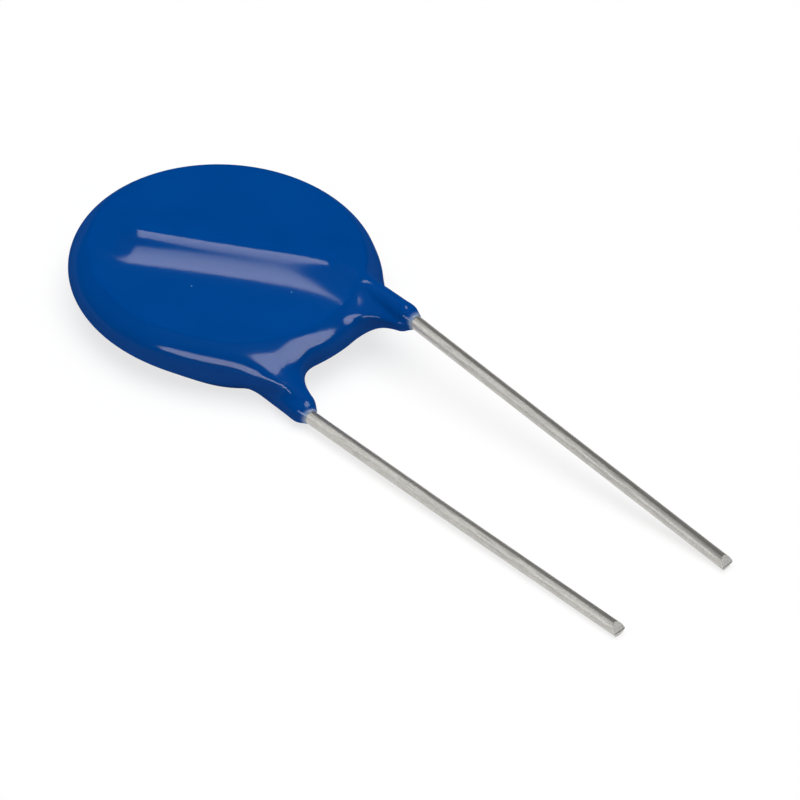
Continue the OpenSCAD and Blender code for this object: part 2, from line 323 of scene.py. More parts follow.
    def leg_gap(self, p: Array) -> Array:
        """Returns how far places are outside the leg round the front lead."""
        y = np.clip(p[:, 1], self.cap_y, self.path.bend_y)
        t = (y - self.cap_y) / (self.path.bend_y - self.cap_y)
        grow = self.leg_taper / 2 * t
        line = np.c_[self.path.leg_x - self.leg_lean * t, y, self.path.wire_z - grow]
        return np.linalg.norm(p - line, axis=1) - self.leg_r - grow

    def cuff_gap(self, p: Array) -> Array:
        """Returns how far places are outside the cuff at the end of the front leg."""
        r = self.path.wire_r + self.cuff_film
        out = np.hypot(p[:, 0] - self.path.leg_x, p[:, 2] - self.path.wire_z) - r
        return np.maximum(out, np.maximum(self.path.leg_end - self.cuff_l - p[:, 1], p[:, 1] - self.cap_y))

    @staticmethod
    def blend(a: Array, b: Array, k: Array | float) -> Array:
        """Returns the lesser of two gaps, with a fillet of width k where they meet."""
        return np.minimum(a, b) - np.maximum(0.0, k - np.abs(a - b)) ** 2 / (4.0 * k)

    def front_gap(self, p: Array) -> Array:
        """Returns how far places are outside the body, the front leg and its cuff, blended."""
        outside = 1.0 - smooth_step((self.path.leg_x - p[:, 0]) / self.side_w + 0.5)
        over = 1.0 - smooth_step((self.level_z - p[:, 2]) / self.under_w)
        crest = smooth_step((p[:, 2] - self.level_z) / self.crest_w)
        k = self.blend_w + (self.blend_out - self.blend_w) * outside * over
        k = k + (self.crest_blend - k) * crest
        coat = self.blend(self.body_gap(p), self.leg_gap(p), k)
        return self.blend(coat, self.cuff_gap(p), self.cuff_blend)

    def gap(self, p: Array) -> Array:
        """Returns how far places are outside the coating. The rear half is the front one turned."""
        turned = p * np.array((-1.0, 1.0, -1.0))
        return self.front_gap(np.where(p[:, :1] < 0.0, turned, p))

    def settle(self, p: Array, rounds: int = 6) -> Array:
        """Moves places along the steepest way onto the skin.

        Args:
            p: Places in millimetres from the disc centre.
            rounds: How often each place is moved.

        Returns:
            The places on the skin.
        """
        step = 1e-3
        least_slope = 0.05
        for _ in range(rounds):
            slope = np.stack([(self.gap(p + e) - self.gap(p - e)) / (2 * step)
                              for e in np.eye(3) * step], axis=1)
            p = p - slope * (self.gap(p) / np.maximum((slope ** 2).sum(axis=1), least_slope))[:, None]
        return p

    def blank(self, centre: Vector) -> Object:
        """Returns the rough form of the coating: a bevelled disc joined to two leg blanks."""
        deselect()
        bpy.ops.mesh.primitive_cylinder_add(vertices=self.body_sides, radius=self.coat_d / 2 * MM,
                                            depth=self.coat_t * MM, location=centre)
        body = bpy.context.object
        edit_all()
        bpy.ops.mesh.bevel(offset=self.rim_w * 0.9 * MM, segments=5, affect="EDGES")
        blanks = [body]
        ends = ((self.leg_r, self.path.bend_y, self.path.leg_end),
                (self.path.wire_r, self.path.leg_end, self.path.leg_end - self.cuff_l))
        for side in Side:
            for radius, near, far in ends:
                s = side.value
                place = Vector((s * self.path.leg_x, (near + far) / 2, s * self.path.wire_z))
                deselect()
                bpy.ops.mesh.primitive_cylinder_add(vertices=self.leg_sides, radius=radius * MM,
                                                    depth=(near - far) * MM, location=centre + place * MM,
                                                    rotation=(math.pi / 2, 0, 0))
                blanks.append(bpy.context.object)
        activate(body)
        for blank in blanks:
            blank.select_set(True)
        bpy.ops.object.join()
        bpy.ops.object.transform_apply()
        return body

    def build(self, centre: Vector) -> Object:
        """Makes the coating.

        Args:
            centre: The middle of the disc in metres.

        Returns:
            The piece.
        """
        coat = self.blank(centre)
        middle = np.array(centre)
        for iterations in self.smoothing:
            apply_modifier(coat, "REMESH", mode="VOXEL", voxel_size=self.voxel * MM)
            apply_modifier(coat, "SMOOTH", factor=0.5, iterations=iterations)
            for _ in range(2):
                move_points(coat, self.settle((points_of(coat) - middle) / MM) * MM + middle)
                apply_modifier(coat, "SMOOTH", factor=0.5, iterations=1)
        places = self.settle((points_of(coat) - middle) / MM)
        # The ridges end at the table and at its mirror plane.
        places[:, 2] = np.clip(places[:, 2], -self.path.mid_z, self.path.mid_z)
        move_points(coat, places * MM + middle)
        # Mask of the pale film tone at each leg's end, also a painted highlight for the glint where the
        # lead leaves the coating.
        write_values(coat, "thin", self.thinness_and_painted_glint(places))
        write_values(coat, "edge", 1.0 - smooth_step(np.abs(self.past_edge(places)) / self.edge_w - 0.5))
        activate(coat)
        bpy.ops.object.shade_smooth()
        coat.name = "dipped_coating"
        return coat

    def thinness_and_painted_glint(self, p: Array) -> Array:
        """Returns how thin the coating is over the wires, from 0 where it hides them to 1 at its edge. It
        masks the pale film tone, which is also a painted highlight at each lead's exit.
        """
        s = np.sign(p[:, 0])
        film = np.hypot(p[:, 0] - s * self.path.leg_x, p[:, 2] - s * self.path.wire_z) - self.path.wire_r
        near = smooth_step((self.path.leg_end + self.thin_from - p[:, 1]) / self.thin_from)
        return near * (1.0 - smooth_step(film / self.thin_film))


@dataclass
class Lead:
    """A tinned wire from its soldered end to the cut tip.

    Attributes:
        path, sides, bend_steps: Its centreline, the sides of its section, and the steps of a bend.
        burr, sharp_angle: The rounding at the cut tip, and the least angle of an edge that gets it.
        smooth_angle, flat_angle: The greatest angle that is shaded smooth, and how far the pinched
            edge may lean. Angles are in degrees.
    """

    path: WirePath
    sides: int = 64
    bend_steps: int = 8
    burr: float = 0.025
    sharp_angle: float = 25.0
    smooth_angle: float = 30.0
    flat_angle: float = 6.0

    def build(self, centre: Vector) -> Object:
        """Makes the wire by extruding and spinning a circle along the path, then cutting its tip.

        Args:
            centre: The middle of the disc in metres.

        Returns:
            The piece.
        """
        p = [centre + q * MM for q in self.path.corners()]
        radii = [r * MM for r in self.path.radii()]
        heading = (p[1] - p[0]).normalized()
        deselect()
        bpy.ops.mesh.primitive_circle_add(vertices=self.sides, radius=self.path.wire_r * MM,
                                          fill_type="NGON", location=p[0],
                                          rotation=heading.to_track_quat("Z", "Y").to_euler())
        wire = bpy.context.object
        bpy.ops.object.transform_apply()
        edit_all()
        here = p[0]
        for i in (1, 2, 3):
            before, after = (p[i] - p[i - 1]).normalized(), (p[i + 1] - p[i]).normalized()
            angle = before.angle(after)
            tangent = radii[i] * math.tan(angle / 2)
            bend_start = p[i] - before * tangent
            bpy.ops.mesh.extrude_region_move(TRANSFORM_OT_translate={"value": bend_start - here})
            inward = (after - before * before.dot(after)).normalized()
            bpy.ops.mesh.spin(steps=self.bend_steps, angle=-angle, center=bend_start + inward * radii[i],
                              axis=before.cross(inward))
            here = p[i] + after * tangent
        bpy.ops.mesh.extrude_region_move(TRANSFORM_OT_translate={"value": p[4] - here})
        bpy.ops.mesh.select_all(action="SELECT")
        bpy.ops.mesh.remove_doubles(threshold=SAME_POINT)
        bpy.ops.mesh.normals_make_consistent(inside=False)
        self.cut_tip(wire, p[4], (p[4] - p[3]).normalized())
        self.lay_out(wire, p)
        activate(wire)
        bpy.ops.object.shade_smooth_by_angle(angle=math.radians(self.smooth_angle))
        wire.name = f"{self.path.side.name.lower()}_wire"
        return wire

    def cut_tip(self, wire: Object, tip: Vector, along: Vector) -> None:
        """Cuts the two bevels that a side cutter leaves, and takes the sharpness off them.

        Args:
            wire: The wire to cut.
            tip: The end of its centreline.
            along: The way the wire points there.
        """
        up = along.cross(UP).normalized().cross(along)
        activate(wire)
        for sign, angle in ((1, self.path.tip_upper), (-1, self.path.tip_lower)):
            a = math.radians(angle)
            edge = tip + up * sign * self.path.tip_edge / 2 * MM
            normal = along * math.sin(a) + up * sign * math.cos(a)
            edit_all()
            bpy.ops.mesh.bisect(plane_co=edge, plane_no=normal, use_fill=True, clear_outer=True,
                                threshold=SAME_POINT)
        apply_modifier(wire, "BEVEL", width=self.burr * MM, segments=2, limit_method="ANGLE",
                       angle_limit=math.radians(self.sharp_angle))
        edit_all()
        bpy.ops.mesh.dissolve_degenerate(threshold=SAME_POINT)
        bpy.ops.mesh.remove_doubles(threshold=SAME_POINT)
        bpy.ops.object.mode_set(mode="OBJECT")
        for _ in TipFace:
            wire.data.materials.append(None)
        cut_length = 1.5 * self.path.wire_r * MM / math.tan(math.radians(self.path.tip_upper))
        for face in wire.data.polygons:
            facing = face.normal.dot(along)
            if facing > 0.5 and (tip - face.center).dot(along) < cut_length:
                pinched = facing > math.cos(math.radians(self.flat_angle))
                face.material_index = (TipFace.PINCHED if pinched else TipFace.CUT).value

    @staticmethod
    def lay_out(wire: Object, p: list[Vector]) -> None:
        """Stores on each vertex where it would lie if the wire were straight along the second axis.

        Args:
            wire: The wire.
            p: The corners of its centreline in metres.
        """
        places = points_of(wire)
        nearest = np.full(len(places), np.inf)
        straight = np.zeros_like(places)
        run = 0.0
        for a, b in zip(p, p[1:]):
            way = (b - a).normalized()
            across = way.cross(UP).normalized()
            length = (b - a).length
            start, line = np.array(a), np.array(way)
            t = np.clip((places - start) @ line, 0.0, length)
            out = places - start - t[:, None] * line
            distance = np.linalg.norm(out, axis=1)
            closer = distance < nearest
            laid = np.c_[out @ np.array(across), run + t, out @ np.array(across.cross(way))]
            straight[closer] = laid[closer]
            nearest = np.minimum(nearest, distance)
            run += length
        write_values(wire, "straight", straight / MM)


class Graph:
    """A node tree that is being put together."""

    def __init__(self, tree: NodeTree) -> None:
        """Takes the tree to work on."""
        self.tree = tree

    def feed(self, socket: NodeSocket, value: object) -> None:
        """Links a socket to another one, or sets its value.

        Args:
            socket: The input to feed.
            value: An output socket, a number, or a colour or vector.
        """
        if isinstance(value, NodeSocket):
            self.tree.links.new(value, socket)
        elif socket.type == "RGBA":
            socket.default_value = (*value, 1.0)
        else:
            socket.default_value = value

    def feed_all(self, node: Node, inputs: dict[str, object]) -> None:
        """Feeds a node's inputs by name, with an underscore for each blank in a name."""
        for name, value in inputs.items():
            self.feed(node.inputs[name.replace("_", " ")], value)

    def add(self, kind: str, options: dict[str, object] | None = None, **inputs: object) -> Node:
        """Adds a node.

        Args:
            kind: The node's type without its ShaderNode prefix.
            options: The node's own settings.
            inputs: Values or sockets for its inputs.

        Returns:
            The new node.
        """
        node = self.tree.nodes.new(f"ShaderNode{kind}")
        for name, value in (options or {}).items():
            setattr(node, name, value)
        self.feed_all(node, inputs)
        return node

    def math(self, operation: str, a: object, b: object = 0.0) -> NodeSocket:
        """Returns the result of an operation on two numbers."""
        node = self.add("Math", {"operation": operation})
        self.feed(node.inputs[0], a)
        self.feed(node.inputs[1], b)
        return node.outputs[0]

    def span(self, value: object, source: tuple[float, float], target: tuple[object, object]
             ) -> NodeSocket:
        """Carries a number from one range to another, clamped.

        Args:
            value: The number.
            source: The range it comes from.
            target: The range it goes to.

        Returns:
            The carried number.
        """
        node = self.add("MapRange", Value=value, From_Min=source[0], From_Max=source[1],
                        To_Min=target[0], To_Max=target[1])
        return node.outputs["Result"]

    def tint(self, factor: object, a: object, b: object) -> NodeSocket:
        """Returns a mixture of two colours, all of the second where the factor is 1."""
        node = self.add("Mix", {"data_type": "RGBA"})
        self.feed(node.inputs[0], factor)
        self.feed(node.inputs[6], a)
        self.feed(node.inputs[7], b)
        return node.outputs[2]

    def scaled(self, vector: NodeSocket, factor: object) -> NodeSocket:
        """Returns a vector times a number, or times another vector part by part."""
        times = isinstance(factor, tuple)
        node = self.add("VectorMath", {"operation": "MULTIPLY" if times else "SCALE"})
        self.feed(node.inputs[0], vector)
        self.feed(node.inputs[1 if times else "Scale"], factor)
        return node.outputs[0]

    def place(self) -> NodeSocket:
        """Returns the place on the piece in millimetres."""
        return self.scaled(self.add("TexCoord").outputs["Object"], 1.0 / MM)

    def attribute(self, name: str, output: str = "Fac") -> NodeSocket:
        """Returns an attribute of the piece, as a number or as another of the node's outputs."""
        return self.add("Attribute", {"attribute_name": name}).outputs[output]


class Effect:
    """A surface effect that several finishes share, kept as one shader node group."""

    kinds = {float: "NodeSocketFloat", tuple: "NodeSocketColor", type(None): "NodeSocketVector"}

    def __init__(self, name: str, inputs: dict[str, object], outputs: dict[str, str]) -> None:
        """Makes the group with its sockets.

        Args:
            name: The group's name.
            inputs: Its inputs with their usual values. None stands for a vector.
            outputs: Its outputs with their kinds, Float or Color.
        """
        self.tree = bpy.data.node_groups.new(name, "ShaderNodeTree")
        for label, value in inputs.items():
            kind = self.kinds[type(value)]
            socket = self.tree.interface.new_socket(label, in_out="INPUT", socket_type=kind)
            if value is not None:
                socket.default_value = (*value, 1.0) if isinstance(value, tuple) else value
        for label, kind in outputs.items():
            self.tree.interface.new_socket(label, in_out="OUTPUT", socket_type=f"NodeSocket{kind}")
        self.graph = Graph(self.tree)
        self.given = self.tree.nodes.new("NodeGroupInput").outputs
        self.result = self.tree.nodes.new("NodeGroupOutput").inputs

    def use(self, graph: Graph, **inputs: object) -> bpy.types.bpy_prop_collection:
        """Places the effect in a material.

        Args:
            graph: The material's graph.
            inputs: Values or sockets for the effect's inputs.

        Returns:
            The outputs of the placed effect.
        """
        node = graph.tree.nodes.new("ShaderNodeGroup")
        node.node_tree = self.tree
        graph.feed_all(node, inputs)
        return node.outputs


class Effects:
    """The shared effects, each made once."""

    def __init__(self) -> None:
        """Makes all the effects."""
        self.cloud = self.make_cloud()
        self.ripple = self.make_ripple()
        self.specks = self.make_specks()
        self.grain = self.make_grain()
        self.streaks = self.make_streaks()

    @staticmethod
    def make_cloud() -> Effect:
        """Makes a soft change between two tones, as pigment and heat leave."""
        effect = Effect("tone_cloud", {"Place": None, "Size": 3.0, "Low": (0.4, 0.4, 0.4),
                                       "High": (0.6, 0.6, 0.6)}, {"Color": "Color", "Mask": "Float"})
        g, given = effect.graph, effect.given
        scale = g.math("DIVIDE", 1.0, given["Size"])
        noise = g.add("TexNoise", Vector=given["Place"], Scale=scale, Detail=3.0, Roughness=0.55)
        mask = g.span(noise.outputs[0], (0.3, 0.7), (0.0, 1.0))
        g.feed(effect.result["Mask"], mask)
        g.feed(effect.result["Color"], g.tint(mask, given["Low"], given["High"]))
        return effect

    @staticmethod
    def make_ripple() -> Effect:
        """Makes the long low waves of a skin that levelled out before it set."""
        effect = Effect("set_ripple", {"Place": None, "Size": 3.0, "Fine": 0.15},
                        {"Height": "Float"})
        g, given = effect.graph, effect.given
        long_waves = g.add("TexNoise", Vector=given["Place"],
                           Scale=g.math("DIVIDE", 1.0, given["Size"]), Detail=1.0, Roughness=0.4)
        short_waves = g.add("TexNoise", Vector=given["Place"],
                            Scale=g.math("DIVIDE", 5.0, given["Size"]), Detail=0.0)
        fine = g.math("MULTIPLY", short_waves.outputs[0], given["Fine"])
        g.feed(effect.result["Height"], g.math("ADD", long_waves.outputs[0], fine))
        return effect

    @staticmethod
    def make_specks() -> Effect:
        """Makes scattered round specks, such as dust and pinholes."""
        effect = Effect("specks", {"Place": None, "Size": 1.0, "Radius": 0.06, "Share": 0.2},
                        {"Mask": "Float"})
        g, given = effect.graph, effect.given
        cells = g.add("TexVoronoi", Vector=given["Place"], Scale=g.math("DIVIDE", 1.0, given["Size"]))
        near = g.math("LESS_THAN", cells.outputs["Distance"], given["Radius"])
        split = g.add("SeparateColor", Color=cells.outputs["Color"])
        chosen = g.math("LESS_THAN", split.outputs[0], given["Share"])
        g.feed(effect.result["Mask"], g.math("MULTIPLY", near, chosen))
        return effect

    @staticmethod
    def make_grain() -> Effect:
        """Makes the close packed grains of a sintered or fired surface."""
        effect = Effect("fired_grain", {"Place": None, "Size": 0.08}, {"Height": "Float", "Mask": "Float"})
        g, given = effect.graph, effect.given
        scale = g.math("DIVIDE", 1.0, given["Size"])
        cells = g.add("TexVoronoi", Vector=given["Place"], Scale=scale)
        pits = g.add("TexNoise", Vector=given["Place"], Scale=g.math("MULTIPLY", scale, 0.3),
                     Detail=4.0)
        g.feed(effect.result["Height"], g.math("ADD", cells.outputs["Distance"], pits.outputs[0]))
        split = g.add("SeparateColor", Color=cells.outputs["Color"])
        g.feed(effect.result["Mask"], split.outputs[0])
        return effect

    @staticmethod
    def make_streaks() -> Effect:
        """Makes fine marks that run along the second axis, as a drawing die or a cutter leaves."""
        effect = Effect("drawn_streaks", {"Place": None, "Width": 0.08, "Stretch": 16.0, "Mottle": 0.3},
                        {"Mask": "Float", "Height": "Float"})
        g, given = effect.graph, effect.given
        scale = g.math("DIVIDE", 1.0, given["Width"])
        squeeze = g.add("CombineXYZ", X=1.0, Y=g.math("DIVIDE", 1.0, given["Stretch"]), Z=1.0)
        long_place = g.add("VectorMath", {"operation": "MULTIPLY"})
        g.feed(long_place.inputs[0], given["Place"])
        g.feed(long_place.inputs[1], squeeze.outputs[0])
        lines = g.add("TexNoise", Vector=long_place.outputs[0], Scale=scale, Detail=2.0, Roughness=0.6)
        spots = g.add("TexNoise", Vector=given["Place"], Scale=g.math("MULTIPLY", scale, 0.45),
                      Detail=4.0)
        line = g.span(lines.outputs[0], (0.45, 0.7), (0.0, 1.0))
        spot = g.math("MULTIPLY", g.span(spots.outputs[0], (0.4, 0.75), (0.0, 1.0)), given["Mottle"])
        g.feed(effect.result["Mask"], g.math("MAXIMUM", line, spot))
        g.feed(effect.result["Height"], g.math("SUBTRACT", 1.0, line))
        return effect


@dataclass(frozen=True)
class Finish:
    """What all finishes share: a name, and the making of the material round its shader."""

    name: str
    fx: Effects

    def shader(self, **constants: object) -> tuple[Material, Graph, Node]:
        """Makes an empty material.

        Args:
            constants: Values for the shader's own sockets that are the same all over the surface.

        Returns:
            The material, its graph and its Principled shader.
        """
        mat = bpy.data.materials.new(self.name)
        mat.use_nodes = True
        graph = Graph(mat.node_tree)
        shader = mat.node_tree.nodes["Principled BSDF"]
        graph.feed_all(shader, constants)
        return mat, graph, shader

    @staticmethod
    def bump(graph: Graph, shader: Node, height: object, depth: float) -> None:
        """Feeds a height to the shader's normal, where a height of 1 is a depth in millimetres."""
        bump = graph.add("Bump", Height=height, Strength=1.0, Distance=depth * MM)
        graph.feed(shader.inputs["Normal"], bump.outputs["Normal"])


@dataclass(frozen=True)
class DippedEpoxy(Finish):
    """Glossy blue epoxy, paler where it thins out over a wire, with a painted highlight there for the
    glint at each lead's exit.

    Attributes:
        deep, light, film, dust: The pigment's two tones, the pale tone over a wire where the coating
            thins, which also paints the glint at each lead's exit as a painted highlight, and that of
            dust.
        specular, smooth, dull: The base's reflection, none, and its roughness in deep and light tones.
        gloss, gloss_facing, gloss_roughness: The gloss coat, stronger head on than at a grazing view.
        ripple_size, ripple_depth: The long waves of the skin.
        dust_places, dust_r: The two dust specks on top, from the disc centre.
        cloud_size, pit_gap, pit_r, pit_share: The tone's clouds and the pinholes.
    """

    deep: Color = (0.0, 0.0525, 0.258)
    light: Color = (0.0, 0.0578, 0.275)
    # Pale tone where the coating thins over a wire at each leg's end: partly the thin film, partly a
    # painted highlight for the glint at the lead's exit.
    film: Color = (0.36, 0.46, 0.62)
    dust: Color = (0.12, 0.28, 0.55)
    specular: float = 0.0
    smooth: float = 0.2
    dull: float = 0.3
    gloss: tuple[float, float] = (0.1, 0.015)
    gloss_facing: tuple[float, float] = (0.3, 0.75)
    gloss_roughness: float = 0.1
    ripple_size: float = 3.2
    ripple_depth: float = 0.012
    dust_places: tuple[tuple[float, float], ...] = ((-4.55, -1.46), (0.36, -6.6))
    dust_r: float = 0.07
    cloud_size: float = 5.0
    pit_gap: float = 1.7
    pit_r: float = 0.02
    pit_share: float = 0.25

    def material(self, centre: Vector) -> Material:
        """Makes the material.

        Args:
            centre: The middle of the disc in metres, which the dust specks are placed from.

        Returns:
            The material.
        """
        mat, g, shader = self.shader(Specular_IOR_Level=self.specular, Coat_Roughness=self.gloss_roughness)
        place = g.place()
        cloud = self.fx.cloud.use(g, Place=place, Size=self.cloud_size, Low=self.deep, High=self.light)
        tone = cloud["Color"]
        flat = g.scaled(place, (1.0, 1.0, 0.0))
        height = g.add("SeparateXYZ", Vector=place).outputs[2]
        above = g.math("GREATER_THAN", height, centre.z / MM)
        for x, y in self.dust_places:
            gap = g.add("VectorMath", {"operation": "DISTANCE"})
            g.feed(gap.inputs[0], flat)
            g.feed(gap.inputs[1], (centre.x / MM + x, centre.y / MM + y, 0.0))
            mask = g.span(gap.outputs["Value"], (self.dust_r * 0.6, self.dust_r), (1.0, 0.0))
            tone = g.tint(g.math("MULTIPLY", mask, above), tone, self.dust)
        pits = self.fx.specks.use(g, Place=place, Size=self.pit_gap, Radius=self.pit_r,
                                  Share=self.pit_share)["Mask"]
        tone = g.tint(g.math("MULTIPLY", pits, 0.35), tone, self.dust)
        # Paints the pale film tone at each leg's end, which is also a painted highlight for the glint
        # where the lead leaves the coating.
        thin = g.attribute("thin")
        g.feed(shader.inputs["Base Color"], g.tint(thin, tone, self.film))
        g.feed(shader.inputs["Roughness"], g.span(cloud["Mask"], (0.0, 1.0), (self.smooth, self.dull)))
        gloss = g.span(g.add("LayerWeight").outputs["Facing"], self.gloss_facing, self.gloss)
        worn = g.math("MAXIMUM", g.attribute("edge"), g.math("MULTIPLY", pits, 0.5))
        g.feed(shader.inputs["Coat Weight"], g.math("MULTIPLY", gloss, g.math("SUBTRACT", 1.0, worn)))
        ripple = self.fx.ripple.use(g, Place=place, Size=self.ripple_size)["Height"]
        self.bump(g, shader, ripple, self.ripple_depth)
        return mat


@dataclass(frozen=True)
class TinnedWire(Finish):
    """Dull tin plate on drawn copper wire, with darker marks along it."""

    tin: Color = (0.6, 0.585, 0.555)
    warm: Color = (0.54, 0.525, 0.49)
    mark: Color = (0.27, 0.26, 0.25)
    shiny: float = 0.34
    dull: float = 0.5
    depth: float = 0.004

    def material(self) -> Material:
        """Makes the material, which reads where each place would lie on the straightened wire."""
        mat, g, shader = self.shader(Metallic=1.0)
        place = g.attribute("straight", "Vector")
        cloud = self.fx.cloud.use(g, Place=place, Size=0.9, Low=self.tin, High=self.warm)
        marks = self.fx.streaks.use(g, Place=place, Width=0.1, Stretch=18.0, Mottle=0.55)
        specks = self.fx.specks.use(g, Place=place, Size=0.45, Radius=0.12, Share=0.3)["Mask"]
        dark = g.math("MULTIPLY", g.math("MAXIMUM", marks["Mask"], specks), 0.5)
        g.feed(shader.inputs["Base Color"], g.tint(dark, cloud["Color"], self.mark))
        g.feed(shader.inputs["Roughness"], g.span(marks["Mask"], (0.0, 1.0), (self.shiny, self.dull)))
        self.bump(g, shader, marks["Height"], self.depth)
        return mat


@dataclass(frozen=True)
class CutMetal(Finish):
    """Metal that a cutter went through: dragged, with marks across the cut."""

    bright: Color = (0.62, 0.61, 0.59)
    dragged: Color = (0.42, 0.4, 0.38)
    roughness: tuple[float, float] = (0.5, 0.65)
    metallic: float = 0.6
    depth: float = 0.01

    def material(self) -> Material:
        """Makes the material, partly matt as the torn metal scatters light."""
        mat, g, shader = self.shader(Metallic=self.metallic)
        place = g.attribute("straight", "Vector")
        turned = g.add("VectorRotate", {"rotation_type": "X_AXIS"}, Vector=place, Angle=math.pi / 2)
        marks = self.fx.streaks.use(g, Place=turned.outputs[0], Width=0.07, Stretch=8.0, Mottle=0.5)
        g.feed(shader.inputs["Base Color"], g.tint(marks["Mask"], self.bright, self.dragged))
        g.feed(shader.inputs["Roughness"], g.span(marks["Mask"], (0.0, 1.0), self.roughness))
        self.bump(g, shader, marks["Height"], self.depth)
        return mat


@dataclass(frozen=True)
class FiredSurface(Finish):
    """A sintered, fired or reflowed surface with close grain and a clouded tone."""

    low: Color
    high: Color
    roughness: tuple[float, float]
    metallic: float = 0.0
    grain: float = 0.08
    depth: float = 0.006
    cloud: float = 1.5

    def material(self) -> Material:
        """Makes the material."""
        mat, g, shader = self.shader(Metallic=self.metallic)
        place = g.place()
        cloud = self.fx.cloud.use(g, Place=place, Size=self.cloud, Low=self.low, High=self.high)
        grain = self.fx.grain.use(g, Place=place, Size=self.grain)
        g.feed(shader.inputs["Base Color"], cloud["Color"])
        g.feed(shader.inputs["Roughness"], g.span(grain["Mask"], (0.0, 1.0), self.roughness))
        self.bump(g, shader, grain["Height"], self.depth)
        return mat


@dataclass(frozen=True)
class TableWhite(Finish):
    """White table that shows as plain white, apart from the shadow close to the part."""

    color: Color = (0.98, 0.98, 0.98)
    near: float = 35.0
    far: float = 120.0
    near_share: float = 0.75

    def material(self) -> Material:
        """Makes the material."""
        mat, g, shader = self.shader(Base_Color=self.color, Roughness=1.0, Specular_IOR_Level=0.0)
        distance = g.add("VectorMath", {"operation": "LENGTH"})
        g.feed(distance.inputs[0], g.place())
        share = g.span(distance.outputs["Value"], (self.near, self.far), (self.near_share, 1.0))
        path = g.add("LightPath").outputs
        seen = g.math("MAXIMUM", g.math("MAXIMUM", path["Is Camera Ray"], path["Is Glossy Ray"]),
                      path["Is Transmission Ray"])
        glow = g.add("Emission", Color=(1.0, 1.0, 1.0), Strength=1.0)
        mix = g.add("MixShader")
        g.feed(mix.inputs[0], g.math("MULTIPLY", share, seen))
        g.feed(mix.inputs[1], shader.outputs[0])
        g.feed(mix.inputs[2], glow.outputs[0])
        out = mat.node_tree.nodes["Material Output"]
        g.feed(out.inputs["Surface"], mix.outputs[0])
        return mat


def dress(obj: Object, *mats: Material) -> None:
    """Puts materials in an object's slots, the last one in all that are left.

    Args:
        obj: The object.
        mats: Its materials in the order of its slots.
    """
    while len(obj.material_slots) < len(mats):
        obj.data.materials.append(None)
    for i, slot in enumerate(obj.material_slots):
        slot.material = mats[min(i, len(mats) - 1)]


@dataclass(frozen=True)
class Lamp:
    """An area lamp, placed by the stretch of sky that it fills as the part sees it.

    Its height is in degrees from the far horizon over the top to the near one, and its side in degrees
    to the right of the camera's line. Its size and its roll about that line are in degrees too.
    """

    name: str
    height: float
    side: float
    size: tuple[float, float]
    radiance: float
    distance: float = 0.7
    roll: float = 0.0
    shape: str = "RECTANGLE"
    diffuse: bool = False
    glossy: bool = True

    def build(self, azimuth: float, aim: Vector) -> Object:
        """Makes the lamp.

        Args:
            azimuth: The camera's azimuth in degrees.
            aim: What the lamp faces.

        Returns:
            The lamp.
        """
        a, height, side, roll = (math.radians(v) for v in (azimuth, self.height, self.side, self.roll))
        away, right = Vector((-math.sin(a), math.cos(a), 0.0)), Vector((math.cos(a), math.sin(a), 0.0))
        ring = away * math.cos(height) + UP * math.sin(height)
        out = ring * math.cos(side) + right * math.sin(side)
        level = right * math.cos(side) - ring * math.sin(side)
        across = level * math.cos(roll) + out.cross(level) * math.sin(roll)
        data = bpy.data.lights.new(self.name, "AREA")
        data.shape = self.shape
        data.size, data.size_y = (2 * self.distance * math.tan(math.radians(v) / 2) for v in self.size)
        data.energy = self.radiance * math.pi * data.size * data.size_y
        if self.shape == "ELLIPSE":
            data.energy *= math.pi / 4
        lamp = bpy.data.objects.new(self.name, data)
        bpy.context.scene.collection.objects.link(lamp)
        turn = Matrix((across, out.cross(across), out)).transposed().to_4x4()
        lamp.matrix_world = Matrix.Translation(aim + out * self.distance) @ turn
        lamp.visible_camera = False
        lamp.visible_diffuse = self.diffuse
        lamp.visible_glossy = self.glossy
        return lamp


